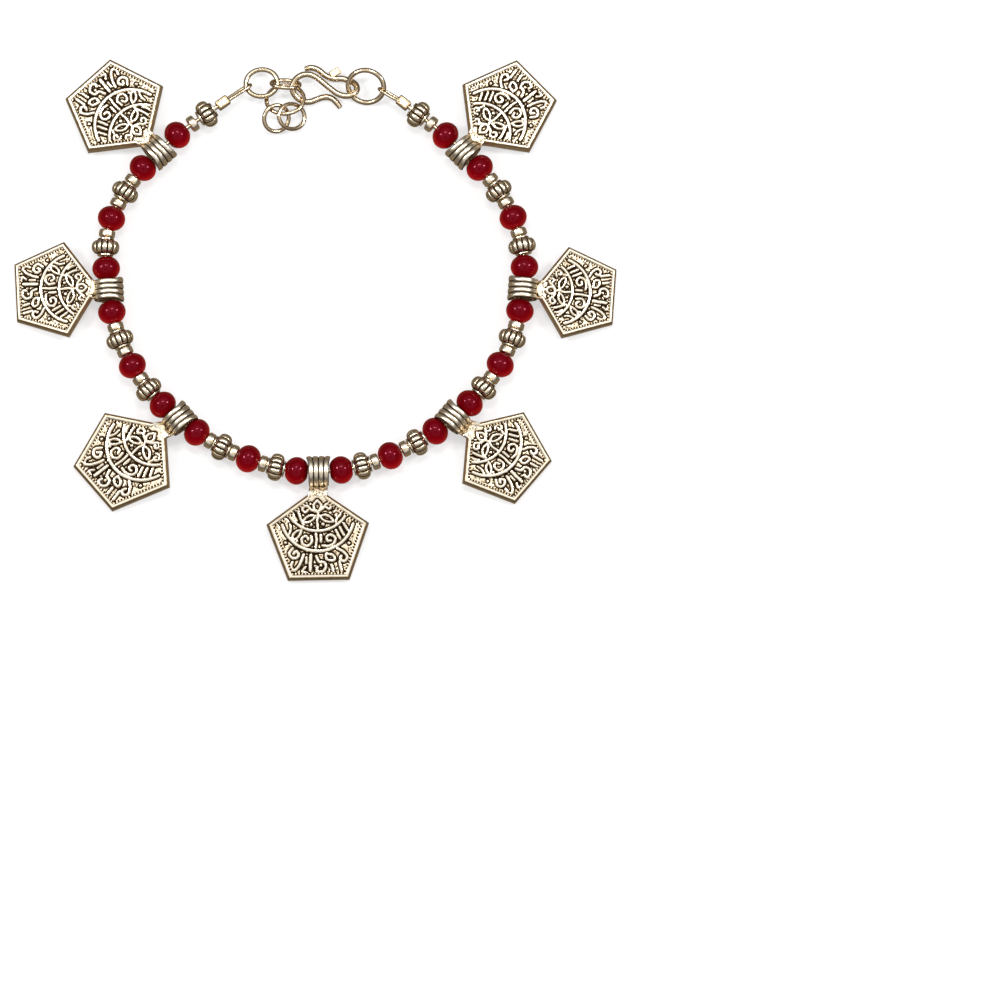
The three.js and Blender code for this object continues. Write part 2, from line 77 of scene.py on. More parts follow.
def spunPiece(name, profile, steps):
    # one point is pushed along the profile of (radius, height) pairs, then spun round Z
    deselectAll()
    bpy.ops.mesh.primitive_plane_add(size=0.5)
    piece = bpy.context.object
    piece.name = name
    openMesh()
    selectWhole()
    bpy.ops.mesh.merge(type="CENTER")
    bpy.ops.transform.translate(value=(profile[0][0], 0, profile[0][1]))
    for before, after in zip(profile, profile[1:]):
        step = (after[0] - before[0], 0, after[1] - before[1])
        bpy.ops.mesh.extrude_region_move(TRANSFORM_OT_translate={"value": step})
    selectWhole()
    bpy.ops.mesh.spin(steps=steps, angle=2 * math.pi, center=(0, 0, 0), axis=(0, 0, 1))
    selectWhole()
    bpy.ops.mesh.remove_doubles(threshold=0.001)
    bpy.ops.mesh.normals_make_consistent(inside=False)
    closeMesh()
    bpy.ops.object.shade_smooth_by_angle(angle=math.radians(40))
    return piece


def bentWire(name, points, diameter, closed=False, fineness=4, tips=()):
    # a wire bent through its points; tips are the thickness shares of its last points
    deselectAll()
    bpy.ops.curve.primitive_bezier_curve_add()
    wire = bpy.context.object
    wire.name = name
    spline = wire.data.splines[0]
    spline.bezier_points.add(len(points) - 2)
    for knot, place in zip(spline.bezier_points, points):
        knot.co = place
        knot.handle_left_type = knot.handle_right_type = "AUTO"
        knot.radius = 1
    for index, share in enumerate(tips):
        spline.bezier_points[index].radius = share
        spline.bezier_points[-1 - index].radius = share
    spline.use_cyclic_u = closed
    wire.data.bevel_depth = diameter / 2
    wire.data.bevel_resolution = 4
    wire.data.use_fill_caps = not closed
    wire.data.resolution_u = fineness
    bpy.ops.object.convert(target="MESH")
    bpy.ops.object.shade_smooth_by_angle(angle=math.radians(50))
    return bpy.context.object


def startBox(size, middle):
    # a block of that size about its middle, left open in edit mode
    deselectAll()
    bpy.ops.mesh.primitive_cube_add(size=1, location=middle)
    openMesh()
    bpy.ops.transform.resize(value=size, center_override=middle)
    return bpy.context.object


def setMask(piece, name, values):
    mask = piece.data.attributes.get(name) or piece.data.attributes.new(name, "FLOAT", "POINT")
    mask.data.foreach_set("value", np.asarray(values, np.float32))


def pointsOf(piece):
    places = np.empty(len(piece.data.vertices) * 3)
    piece.data.vertices.foreach_get("co", places)
    return places.reshape(-1, 3)


def movePoints(piece, places):
    piece.data.vertices.foreach_set("co", places.ravel())
    piece.data.update()


def smooth(share):
    share = np.clip(share, 0, 1)
    return share * share * (3 - 2 * share)


def placedCopy(source, name, place):
    mesh = source.data.copy()
    mesh.name = name
    mesh.transform(place)
    piece = bpy.data.objects.new(name, mesh)
    bpy.context.scene.collection.objects.link(piece)
    return piece


def joined(pieces, name):
    deselectAll()
    for piece in pieces:
        piece.select_set(True)
    bpy.context.view_layer.objects.active = pieces[0]
    bpy.ops.object.join()
    bpy.context.object.name = name
    return bpy.context.object


def finishPiece(piece, material, slot, *nodes):
    piece.data.materials.clear()
    piece.data.materials.append(material)
    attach(piece, "root")
    if nodes:
        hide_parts(*nodes)


# the string's route in plan, from the left crimp round to the right one, in millimetres: fitted points
stringRoute = [
    (-19.7, 36.5), (-31.3, 27.9), (-39.6, 18.6), (-44.3, 8.7), (-44.4, -2.4), (-42.0, -14.2),
    (-36.3, -25.0), (-27.2, -33.9), (-16.0, -40.4), (-3.6, -43.8), (9.1, -43.0), (21.3, -38.0),
    (32.2, -30.2), (40.2, -20.1), (44.3, -8.0), (44.8, 4.1), (40.7, 15.4), (31.9, 26.0), (19.1, 36.5),
]
# what hangs between the pendants, after each stretch's play as a share of a red bead
stretches = [
    (0.63, "ribbed spacer red"),
    (0.22, "red spacer ribbed spacer red spacer ribbed red"),
    (0.04, "red spacer ribbed spacer red spacer ribbed red"),
    (0.0, "red spacer ribbed spacer red spacer ribbed red"),
    (0.17, "red ribbed spacer red spacer ribbed red"),
    (0.01, "red ribbed spacer red spacer ribbed spacer red"),
    (0.28, "red ribbed spacer red spacer ribbed spacer red"),
    (0.49, "red spacer ribbed"),
]
threading = {
    "lengths": {"red": 4.82, "ribbed": 3.82, "spacer": 1.62, "pendant": 4.34, "crimp": 2.9},
    "gap": 0.15,
    "height": 3.0,
    "wire": 0.9,
}


def threadOrder():
    # each piece with its distance along the string
    lengths = threading["lengths"]
    order = [("crimp", 0.0)]
    for index, (play, names) in enumerate(stretches):
        kinds = names.split() + ["crimp" if index == len(stretches) - 1 else "pendant"]
        gap = threading["gap"] + play * lengths["red"] / len(kinds)
        for kind in kinds:
            before, station = order[-1]
            order.append((kind, station + (lengths[before] + lengths[kind]) / 2 + gap))
    return order


def routeThrough(points, perSpan=60):
    # a spline through the points, with evenly eased bends, as a fine path
    knots = np.vstack([2 * points[0] - points[1], points, 2 * points[-1] - points[-2]])
    share = np.linspace(0, 1, perSpan, endpoint=False)[:, None]
    path = []
    for a, b, c, d in zip(knots, knots[1:], knots[2:], knots[3:]):
        ab, bc, cd = (math.dist(p, q) ** 0.5 for p, q in ((a, b), (b, c), (c, d)))
        leave = ((b - a) / ab - (c - a) / (ab + bc) + (c - b) / bc) * bc
        arrive = ((c - b) / bc - (d - b) / (bc + cd) + (d - c) / cd) * bc
        path.append(b + leave * share + (3 * (c - b) - 2 * leave - arrive) * share ** 2
                    + (2 * (b - c) + leave + arrive) * share ** 3)
    return np.vstack(path + [points[-1:]])


def placesOnString():
    # the route is stretched until the pieces just fill it, then each piece gets place and heading
    order = threadOrder()
    points = np.array(stringRoute)
    middle = (points[0] + points[-1]) / 2
    grown = points.copy()
    share = 1.0
    for _ in range(12):
        grown[1:-1] = middle + (points[1:-1] - middle) * share
        path = routeThrough(grown)
        along = np.concatenate([[0], np.cumsum(np.hypot(*np.diff(path, axis=0).T))])
        share *= order[-1][1] / along[-1]
    places = []
    for kind, station in order:
        x, y = (np.interp(station, along, path[:, axis]) for axis in (0, 1))
        ahead, behind = ([np.interp(station + step, along, path[:, axis]) for axis in (0, 1)]
                         for step in (0.1, -0.1))
        heading = math.degrees(math.atan2(ahead[1] - behind[1], ahead[0] - behind[0]))
        places.append((kind, x, y, heading))
    return places


def frameShift(places):
    # from the route's own origin to the frame's, taken at the first red bead
    low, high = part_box("red_bead_01")
    centre = (low + high) / (2 * mm)
    x, y = next((x, y) for kind, x, y, _ in places if kind == "red")
    return centre - Vector((x, y, threading["height"]))


shift = frameShift(placesOnString())
stringPlaces = [(kind, x + shift.x, y + shift.y, turn) for kind, x, y, turn in placesOnString()]
stringHeight = threading["height"] + shift.z
print("string laid out")

# the camera's aim is a place on the ground in the route's own millimetres
view = {
    "elevation": 80.0,
    "distance": 4.5,
    "lens": 756.0,
    "aim": (39.856, -49.606),
}


def addCamera():
    tilt = math.radians(view["elevation"])
    back = Vector((0, -math.cos(tilt), math.sin(tilt)))
    aim = Vector((view["aim"][0] + shift.x, view["aim"][1] + shift.y, 0)) * mm
    bpy.ops.object.camera_add(location=aim + back * view["distance"])
    camera = bpy.context.object
    camera.rotation_euler = (-back).to_track_quat("-Z", "Y").to_euler()
    camera.data.lens = view["lens"]
    camera.data.sensor_width = 36
    camera.data.clip_start = 0.05
    camera.data.clip_end = 20
    camera.data.dof.use_dof = False
    bpy.context.scene.camera = camera


addCamera()
print("camera set")


def newGroup(name, inputs, outputs):
    group = bpy.data.node_groups.new(name, "ShaderNodeTree")
    for label, kind, value in inputs:
        socket = group.interface.new_socket(name=label, in_out="INPUT", socket_type=kind)
        socket.default_value = value
    for label, kind in outputs:
        group.interface.new_socket(name=label, in_out="OUTPUT", socket_type=kind)
    start = group.nodes.new("NodeGroupInput")
    end = group.nodes.new("NodeGroupOutput")
    return group, start, end


def addNode(tree, kind, values=None, **settings):
    node = tree.nodes.new(kind)
    for key, value in settings.items():
        setattr(node, key, value)
    for key, value in (values or {}).items():
        if isinstance(value, bpy.types.NodeSocket):
            tree.links.new(value, node.inputs[key])
        else:
            node.inputs[key].default_value = value
    return node


def makeAgedMetal():
    # colour, roughness and height of cast metal, blackened where its mask is high: patina where its
    # hollows are deep, and painted shade where a piece's mask carries it
    group, start, end = newGroup("aged metal", [
        ("Patina And Shade", "NodeSocketFloat", 0.0),
        ("Bright", "NodeSocketColor", (0.86, 0.75, 0.57, 1)),
        ("Warm", "NodeSocketColor", (0.4, 0.28, 0.14, 1)),
        ("Dark", "NodeSocketColor", (0.014, 0.007, 0.003, 1)),
        ("Patch Size", "NodeSocketFloat", 0.0012),
        ("Patch Amount", "NodeSocketFloat", 0.35),
        ("Smoothest", "NodeSocketFloat", 0.22),
        ("Roughest", "NodeSocketFloat", 0.6),
    ], [
        ("Colour", "NodeSocketColor"), ("Roughness", "NodeSocketFloat"), ("Height", "NodeSocketFloat"),
    ])
    place = addNode(group, "ShaderNodeTexCoord").outputs["Object"]
    scale = addNode(group, "ShaderNodeMath", {
        0: 1.0, 1: start.outputs["Patch Size"],
    }, operation="DIVIDE")
    patches = addNode(group, "ShaderNodeTexNoise", {
        "Vector": place, "Scale": scale.outputs[0], "Detail": 4.0, "Roughness": 0.6,
    })
    patchy = addNode(group, "ShaderNodeMapRange", {
        "Value": patches.outputs["Fac"], "From Min": 0.45, "From Max": 0.75,
    })
    amount = addNode(group, "ShaderNodeMath", {
        0: patchy.outputs[0], 1: start.outputs["Patch Amount"],
    }, operation="MULTIPLY")
    warmth = addNode(group, "ShaderNodeMapRange", {
        "Value": start.outputs["Patina And Shade"], "From Max": 0.55, "To Max": 0.8,
    })
    warm = addNode(group, "ShaderNodeMath", {
        0: warmth.outputs[0], 1: amount.outputs[0],
    }, operation="ADD", use_clamp=True)
    clean = addNode(group, "ShaderNodeMix", {
        "Factor": warm.outputs[0], 6: start.outputs["Bright"], 7: start.outputs["Warm"],
    }, data_type="RGBA")
    depth = addNode(group, "ShaderNodeMapRange", {
        "Value": start.outputs["Patina And Shade"], "From Min": 0.45, "From Max": 0.85,
    }, interpolation_type="SMOOTHSTEP")
    aged = addNode(group, "ShaderNodeMix", {
        "Factor": depth.outputs[0], 6: clean.outputs[2], 7: start.outputs["Dark"],
    }, data_type="RGBA")
    rough = addNode(group, "ShaderNodeMapRange", {
        "Value": warm.outputs[0],
        "To Min": start.outputs["Smoothest"], "To Max": start.outputs["Roughest"],
    })
    group.links.new(aged.outputs[2], end.inputs["Colour"])
    group.links.new(rough.outputs[0], end.inputs["Roughness"])
    group.links.new(patches.outputs["Fac"], end.inputs["Height"])
    return group


def makeCastStipple():
    # fine pits of a cast ground
    group, start, end = newGroup("cast stipple", [
        ("Pit Size", "NodeSocketFloat", 0.0004),
        ("Amount", "NodeSocketFloat", 1.0),
    ], [("Height", "NodeSocketFloat"), ("Pits", "NodeSocketFloat")])
    place = addNode(group, "ShaderNodeTexCoord").outputs["Object"]
    scale = addNode(group, "ShaderNodeMath", {
        0: 1.0, 1: start.outputs["Pit Size"],
    }, operation="DIVIDE")
    cells = addNode(group, "ShaderNodeTexVoronoi", {"Vector": place, "Scale": scale.outputs[0]})
    pits = addNode(group, "ShaderNodeMapRange", {
        "Value": cells.outputs["Distance"], "From Min": 0.2, "From Max": 0.55,
        "To Min": 1.0, "To Max": 0.0,
    }, interpolation_type="SMOOTHSTEP")
    amount = addNode(group, "ShaderNodeMath", {
        0: pits.outputs[0], 1: start.outputs["Amount"],
    }, operation="MULTIPLY")
    height = addNode(group, "ShaderNodeMath", {0: 1.0, 1: amount.outputs[0]}, operation="SUBTRACT")
    group.links.new(height.outputs[0], end.inputs["Height"])
    group.links.new(amount.outputs[0], end.inputs["Pits"])
    return group


agedMetal = makeAgedMetal()
castStipple = makeCastStipple()


def newMaterial(name):
    material = bpy.data.materials.new(name)
    material.use_nodes = True
    tree = material.node_tree
    shader = tree.nodes["Principled BSDF"]
    return material, tree, shader


def metalMaterial(name, look, bump, stipple=None):
    material, tree, shader = newMaterial(name)
    patina_and_shade = addNode(tree, "ShaderNodeAttribute", attribute_name="patina_and_shade").outputs["Fac"]
    height = None
    if stipple:
        ground = addNode(tree, "ShaderNodeAttribute", attribute_name="ground").outputs["Fac"]
        dots = addNode(tree, "ShaderNodeGroup", node_tree=castStipple)
        dots.inputs["Pit Size"].default_value = stipple["size"]
        tree.links.new(ground, dots.inputs["Amount"])
        pitted = addNode(tree, "ShaderNodeMath", {
            0: dots.outputs["Pits"], 1: stipple["stain"], 2: patina_and_shade,
        }, operation="MULTIPLY_ADD")
        patina_and_shade = pitted.outputs[0]
        height = dots.outputs["Height"]
    metal = addNode(tree, "ShaderNodeGroup", node_tree=agedMetal)
    for key, value in look.items():
        metal.inputs[key].default_value = value
    tree.links.new(patina_and_shade, metal.inputs["Patina And Shade"])
    tree.links.new(metal.outputs["Colour"], shader.inputs["Base Color"])
    tree.links.new(metal.outputs["Roughness"], shader.inputs["Roughness"])
    shader.inputs["Metallic"].default_value = 1.0
    dents = addNode(tree, "ShaderNodeBump", {
        "Height": metal.outputs["Height"], "Distance": bump, "Strength": 0.5,
    })
    normal = dents.outputs["Normal"]
    if height is not None:
        pits = addNode(tree, "ShaderNodeBump", {
            "Height": height, "Distance": stipple["depth"], "Strength": 1.0, "Normal": normal,
        })
        normal = pits.outputs["Normal"]
    tree.links.new(normal, shader.inputs["Normal"])
    return material


# red glass: its colour in thick and thin streaks, a painted glow where light would gather, and its
# shine
ruby = {
    "thick": (0.08, 0.0, 0.001, 1),
    "thin": (0.13, 0.0, 0.003, 1),
    # the colour of the painted glow
    "lit": (0.42, 0.0, 0.003, 1),
    "streaks": 420.0,
    "roughness": 0.05,
    "shine": 0.3,
    "shineTint": (1.0, 0.26, 0.42, 1),
}


def glassMaterial():
    material, tree, shader = newMaterial("ruby glass")
    place = addNode(tree, "ShaderNodeTexCoord").outputs["Object"]
    streaks = addNode(tree, "ShaderNodeTexNoise", {
        "Vector": place, "Scale": ruby["streaks"], "Detail": 3.0,
    })
    # painted glow: a mask makes the glass lighter low down and on its near side
    painted_glow = addNode(tree, "ShaderNodeAttribute", attribute_name="painted_glow").outputs["Fac"]
    body = addNode(tree, "ShaderNodeMix", {
        "Factor": streaks.outputs["Fac"], 6: ruby["thick"], 7: ruby["thin"],
    }, data_type="RGBA")
    lit = addNode(tree, "ShaderNodeMix", {
        "Factor": painted_glow, 6: body.outputs[2], 7: ruby["lit"],
    }, data_type="RGBA")
    tree.links.new(lit.outputs[2], shader.inputs["Base Color"])
    shader.inputs["Roughness"].default_value = ruby["roughness"]
    shader.inputs["Specular IOR Level"].default_value = ruby["shine"]
    shader.inputs["Specular Tint"].default_value = ruby["shineTint"]
    shader.inputs["IOR"].default_value = 1.5
    return material


pendantMetal = metalMaterial("oxidised cast silver", {
    "Bright": (0.97, 0.89, 0.75, 1), "Warm": (0.5, 0.36, 0.19, 1),
    "Patch Size": 0.0009, "Patch Amount": 0.4, "Smoothest": 0.18, "Roughest": 0.55,
}, 0.00004, {"size": 0.0005, "stain": 0.5, "depth": 0.00008})
beadMetal = metalMaterial("oxidised bead silver", {
    "Patch Size": 0.0015, "Patch Amount": 0.3, "Smoothest": 0.2, "Roughest": 0.45,
}, 0.00003)
plainMetal = metalMaterial("polished silver", {
    "Bright": (0.66, 0.53, 0.36, 1), "Warm": (0.4, 0.28, 0.15, 1),
    "Patch Size": 0.002, "Patch Amount": 0.3, "Smoothest": 0.18, "Roughest": 0.36,
}, 0.00003)
rubyGlass = glassMaterial()
print("materials made")


def onString(x, y, heading, roll=0.0):
    # the piece's Z goes along the string, its X points up
    turn = math.radians(heading)
    along = Vector((math.cos(turn), math.sin(turn), 0))
    up = Vector((0, 0, 1))
    side = along.cross(up)
    basis = Matrix((up, side, along)).transposed().to_4x4()
    return (shrink @ Matrix.Translation((x, y, stringHeight)) @ basis
            @ Matrix.Rotation(roll, 4, "Z"))


# red glass beads
redBead = {
    "radius": 3.0,
    "halfLength": 2.41,
    "poleHeight": 2.675,
    "bore": 0.6,
    "rings": 14,
    "sides": 40,
    # the painted glow of the glass, lighter low down and on its near side
    "painted_glow": (0.62, 0.7, 0.25),   # its share at mid-height, and how it grows downwards and nearer
}


def modelRedBead():
    end = redBead["halfLength"]
    profile = [(redBead["bore"], -end)]
    for index in range(redBead["rings"] + 1):
        along = end * math.sin(math.pi * (index / redBead["rings"] - 0.5))
        profile.append((redBead["radius"] * math.sqrt(1 - (along / redBead["poleHeight"]) ** 2), along))
    profile += [(redBead["bore"], end), profile[0]]
    return spunPiece("red_bead", profile, redBead["sides"])


def paintGlassGlow(bead, centre):
    # painted glow: the glass is coloured lighter low down and on its near side, as if light gathered
    # there
    level, downwards, nearer = redBead["painted_glow"]
    places = pointsOf(bead) - np.array(centre) * mm
    reach = redBead["radius"] * mm
    lit = level - (downwards * places[:, 2] + nearer * places[:, 1]) / reach
    setMask(bead, "painted_glow", smooth(lit))


# ribbed beads
ribbedBead = {
    "radius": 3.0,
    "halfLength": 1.91,
    "collar": 1.75,
    # steps of each end's turning: out from the collar's radius, in from the bead's end
    "collarSteps": [(-0.12, 0.0), (0.0, 0.06), (0.0, 0.28), (-0.28, 0.32), (-0.28, 0.38)],
    "bellyFoot": 1.8,
    "bellyRings": 12,
    "roundness": 2.1,
    "endLength": 0.42,
    "bore": 0.6,
    "ribs": 13,
    "grooveDepth": 0.42,
    "columnsPerRib": 12,
    "grooveWidth": 0.19,
    "collarStain": 0.85,
}


def modelRibbedBead():
    end = ribbedBead["halfLength"]
    radius = ribbedBead["radius"]
    collar = ribbedBead["collar"]
    profile = [(ribbedBead["bore"], -end)]
    profile += [(collar + out, -end + along) for out, along in ribbedBead["collarSteps"]]
    turned = profile[:]
    bellyEnd = end - ribbedBead["endLength"]
    rings = ribbedBead["bellyRings"]
    for index in range(rings + 1):
        share = 2 * index / rings - 1
        along = bellyEnd * share
        bulge = (1 - abs(share) ** ribbedBead["roundness"]) ** 0.5
        profile.append((ribbedBead["bellyFoot"] + (radius - ribbedBead["bellyFoot"]) * bulge, along))
    profile += [(r, -z) for r, z in reversed(turned)]
    profile.append(profile[0])
    sides = ribbedBead["ribs"] * ribbedBead["columnsPerRib"]
    bead = spunPiece("ribbed_bead", profile, sides)
    places = pointsOf(bead)
    reach = np.hypot(places[:, 0], places[:, 1])
    phase = np.arctan2(places[:, 1], places[:, 0]) * ribbedBead["ribs"] / (2 * math.pi) % 1
    crest = np.sqrt(np.clip(1 - (2 * phase - 1) ** 2, 0, 1))
    pitch = 2 * math.pi * radius / ribbedBead["ribs"]
    fromGroove = (0.5 - np.abs(phase - 0.5)) * pitch
    grooveWidth = ribbedBead["grooveWidth"]
    inGroove = 1 - smooth((fromGroove - grooveWidth / 2) / grooveWidth)
    onBelly = smooth((reach - collar) / 0.5) * (np.abs(places[:, 2]) < bellyEnd - 0.01)
    drawnIn = ribbedBead["grooveDepth"] * (1 - crest) * onBelly
    places[:, :2] *= ((reach - drawnIn) / reach)[:, None]
    movePoints(bead, places)
    depth = end - np.abs(places[:, 2])
    byCollar = smooth((0.75 - depth) / 0.15) * (depth > 0.3) * (reach < collar + 0.5)
    setMask(bead, "patina_and_shade", np.maximum(onBelly * inGroove, byCollar * ribbedBead["collarStain"]))
    return bead


# plain spacers
spacer = {"radius": 1.75, "halfLength": 0.81, "edge": 0.4, "bore": 0.5, "sides": 28}


def modelSpacer():
    end, radius, edge = spacer["halfLength"], spacer["radius"], spacer["edge"]
    profile = [(spacer["bore"], -end)]
    for index in range(6):
        turn = math.pi / 2 * index / 5
        profile.append((radius - edge + edge * math.sin(turn), -end + edge - edge * math.cos(turn)))
    profile += [(r, -z) for r, z in reversed(profile)]
    profile.append(profile[0])
    return spunPiece("spacer", profile, spacer["sides"])


def stringBeads():
    shapes = {"red": modelRedBead(), "ribbed": modelRibbedBead(), "spacer": modelSpacer()}
    counts = {"red": 0, "ribbed": 0, "spacer": 0}
    rolls = random.Random(7)
    spacers = []
    for kind, x, y, heading in stringPlaces:
        if kind not in shapes:
            continue
        counts[kind] += 1
        place = onString(x, y, heading, rolls.uniform(0, 2 * math.pi))
        if kind == "spacer":
            spacers.append(placedCopy(shapes[kind], "spacer_part", place))
            continue
        name = f"{kind}_bead_{counts[kind]:02d}"
        bead = placedCopy(shapes[kind], name + "_shape", place)
        if kind == "red":
            paintGlassGlow(bead, (x, y, stringHeight))
            finishPiece(bead, rubyGlass, "red_glass", name)
        else:
            finishPiece(bead, beadMetal, "oxidised_silver", name)
    for shape in shapes.values():
        bpy.data.objects.remove(shape)
    return joined(spacers, "spacers")


spacers = stringBeads()
wirePoints = [(x, y, stringHeight) for _, x, y, _ in stringPlaces]
wireShape = bentWire("string_wire", wirePoints, threading["wire"], fineness=3)
wireShape.data.transform(shrink)
finishPiece(spacers, beadMetal, "oxidised_silver", "bead_wire")
finishPiece(wireShape, plainMetal, "polished_silver", "bead_wire")
print("beads strung")

# pendants, each lying along +X from its bail's axis
pendant = {
    "underside": -0.45,
    "length": 19.1,
    "width": 21.0,
    "foot": 12.6,
    "shoulder": 7.449,
    "thickness": 2.0,
    "drafts": (0.5, 0.58, 0.58, 0.58, 0.5),
    "mouth": (1.5, 3.0),
    "rim": 0.5,
    "border": 0.45,
    "relief": 0.3,
    "groove": 0.28,
    "pitInset": 0.3,
    "pitSpacing": 0.66,
    "pitSize": 0.19,
    "groundStain": 0.27,
    "edgeDarkening": 0.42,
    "grid": 0.11,
}
# the wall's depths below the rim, and how far out it has spread and how much darker its colour is there
wall = {
    "depths": (0.0, 0.06, 0.16, 0.4, 1.0, 1.7, 1.9, 2.0),
    "spreads": (0.0, 0.14, 0.4, 0.74, 0.92, 1.0, 1.0, 0.96),
    "darkenings": (0.4, 0.62, 0.68, 0.5, 0.38, 0.42, 0.5, 0.5),
}
bail = {
    "radius": 3.2,
    "length": 4.34,
    "bore": 2.2,
    "sides": 44,
    "ridges": 4,
    "ridgeShares": (0.0, 0.04, 0.08, 0.12, 0.2, 0.34, 0.5, 0.66, 0.8, 0.88, 0.92, 0.96),
    "roundness": 2.2,
    "grooveDepth": 0.35,
    "flare": 0.22,
    "lip": 0.15,
    "stain": 0.19,
}
neck = {
    "start": 2.7,
    "end": 5.4,
    "width": 3.7,
    "widening": 1.19,
    "intoPlate": 2.2,
    "edge": 0.25,
    "slope": 1.35,
    "hollow": 0.27,
    # painted shade where the neck runs in under the bail
    "shadeUnderBail": 0.85,
}

# raised strokes of the ornament: width, then points as (along, across) on the plate
strokes = [
    (0.55, [(2.7, 0), (3.6, -0.75), (4.5, -0.6), (4.9, 0), (4.5, 0.6), (3.6, 0.75), (2.7, 0)]),
    (0.55, [(4.9, 0.3), (4.3, 1.2), (3.6, 1.7), (3.4, 2.3), (3.9, 2.8), (4.5, 2.4), (4.2, 1.9)]),
    (0.55, [(4.9, -0.3), (4.6, -1.3), (3.9, -1.9), (3.9, -2.7), (4.6, -3.0), (5.1, -2.5), (4.7, -2.0)]),
    (0.55, [(5.0, 0), (6.0, 0.15), (7.0, -0.1), (8.5, 0)]),
    (0.5, [(5.9, 0.5), (5.7, 1.7), (6.3, 2.8), (7.1, 3.1), (7.1, 2.0), (6.6, 1.0), (5.9, 0.5)]),
    (0.5, [(5.9, -0.4), (5.8, -1.6), (6.4, -2.6), (7.2, -2.8), (7.1, -1.8), (6.6, -0.9), (5.9, -0.4)]),
    (0.55, [(4.6, -4.0), (6.0, -3.6), (7.7, -2.9)]),
    (0.55, [(5.2, -5.0), (6.0, -4.8), (6.8, -4.3)]),
    (0.5, [(5.1, 3.3), (4.8, 4.1), (5.4, 4.7), (6.1, 4.3), (5.9, 3.7), (5.5, 3.9)]),
    (0.5, [(6.5, 3.9), (7.3, 3.7)]),
    (0.55, [(9.6, -0.4), (10.9, -0.3), (12.5, -0.5)]),
    (0.55, [(9.8, 0.6), (11.2, 0.6)]),
    (0.55, [(10.0, -1.4), (11.3, -1.3), (12.0, -2.2), (11.5, -3.2), (10.4, -3.2), (10.0, -2.4),
            (10.7, -2.0)]),
    (0.5, [(8.8, -3.3), (9.7, -3.7), (10.5, -4.4), (10.6, -5.2), (9.6, -5.0), (8.9, -4.2),
           (8.8, -3.3)]),
    (0.5, [(7.6, -5.6), (8.6, -5.5), (9.6, -5.9)]),
    (0.55, [(12.0, 0.9), (12.1, 2.1), (11.5, 3.3), (10.4, 3.5), (9.8, 2.6), (10.2, 1.8), (11.0, 1.9),
            (11.0, 2.6)]),
    (0.55, [(8.9, 3.7), (10.6, 4.5)]),
    (0.55, [(8.3, 4.5), (9.9, 5.3)]),
    (0.55, [(7.5, 5.3), (8.9, 6.1)]),
    (0.6, [(12.5, -5.2), (13.5, -5.9), (14.4, -5.4), (14.5, -4.5), (13.8, -4.0), (13.1, -4.5),
           (13.6, -5.0)]),
    (0.6, [(13.8, -3.0), (15.0, -3.4), (16.3, -4.1), (17.0, -5.0), (16.3, -5.6), (15.4, -5.3)]),
    (0.7, [(14.0, -1.5), (17.0, -1.7)]),
    (0.5, [(14.4, -2.4), (15.6, -2.5)]),
    (0.5, [(16.4, -2.7), (17.3, -3.3), (17.5, -2.4)]),
    (0.6, [(14.2, -0.4), (15.3, 0.1), (15.5, 1.2), (16.6, 1.5), (17.4, 0.7), (17.2, -0.3),
           (16.5, -0.2)]),
    (0.55, [(13.7, 1.6), (14.0, 3.0), (15.0, 3.3), (15.1, 2.3), (14.6, 1.6), (13.7, 1.6)]),
    (0.6, [(16.0, 2.7), (17.4, 3.0)]),
    (0.6, [(15.4, 4.3), (17.3, 4.7)]),
    (0.6, [(12.7, 4.0), (13.4, 5.2), (14.5, 5.9), (15.3, 5.3), (14.9, 4.5), (14.2, 4.7)]),
]
bosses = [
    (7.6, 1.1, 0.35), (7.7, -1.3, 0.3), (3.4, -1.4, 0.25), (8.3, 2.9, 0.25), (11.0, -4.3, 0.3),
    (13.0, -2.2, 0.3), (16.1, 0.5, 0.3), (16.2, -0.7, 0.25), (11.3, -6.6, 0.3), (12.1, 3.0, 0.2),
    (11.6, 6.3, 0.3),
]
arcs = [
    {"bottom": 13.14, "radius": 7.5, "halfTurn": 1.3, "width": 0.65},
    {"bottom": 8.98, "radius": 6.8, "halfTurn": 0.98, "width": 0.6},
]


def outlineSides(draftShare, inset=0):
    # each side of the plate as its inward direction and offset, at the base or drawn in to the face
    half, foot = pendant["width"] / 2, pendant["foot"] / 2
    corners = [(0, 0), (pendant["shoulder"], -half), (pendant["length"], -foot),
               (pendant["length"], foot), (pendant["shoulder"], half)]
    sides = []
    for index, corner in enumerate(corners):
        after = corners[(index + 1) % 5]
        run = (after[0] - corner[0], after[1] - corner[1])
        size = math.hypot(*run)
        inward = (-run[1] / size, run[0] / size)
        offset = inward[0] * corner[0] + inward[1] * corner[1] + inset
        offset += draftShare * pendant["drafts"][index]
        sides.append((inward, offset))
    return sides


def outlineCorners(draftShare, inset=0):
    sides = outlineSides(draftShare, inset)
    corners = []
    for (before, offsetBefore), (side, offset) in zip(sides[-1:] + sides[:-1], sides):
        cross = before[0] * side[1] - before[1] * side[0]
        corners.append(((offsetBefore * side[1] - offset * before[1]) / cross,
                        (before[0] * offset - side[0] * offsetBefore) / cross))
    return corners


def smoothPath(points, perSpan=7):
    # a rounded path through the chosen points
    knots = [points[0]] + list(points) + [points[-1]]
    path = []
    for a, b, c, d in zip(knots, knots[1:], knots[2:], knots[3:]):
        a, b, c, d = map(np.array, (a, b, c, d))
        for index in range(perSpan):
            t = index / perSpan
            path.append(0.5 * (2 * b + (c - a) * t + (2 * a - 5 * b + 4 * c - d) * t * t
                               + (3 * b - a - 3 * c + d) * t ** 3))
    path.append(np.array(points[-1], float))
    return np.array(path, float)


def distanceTo(path, places):
    nearest = np.full(len(places), 1e9)
    for start, end in zip(path, path[1:]):
        run = end - start
        size = max(run @ run, 1e-12)
        share = np.clip(((places - start) @ run) / size, 0, 1)
        gap = places - start - share[:, None] * run
        nearest = np.minimum(nearest, np.hypot(gap[:, 0], gap[:, 1]))
    return nearest


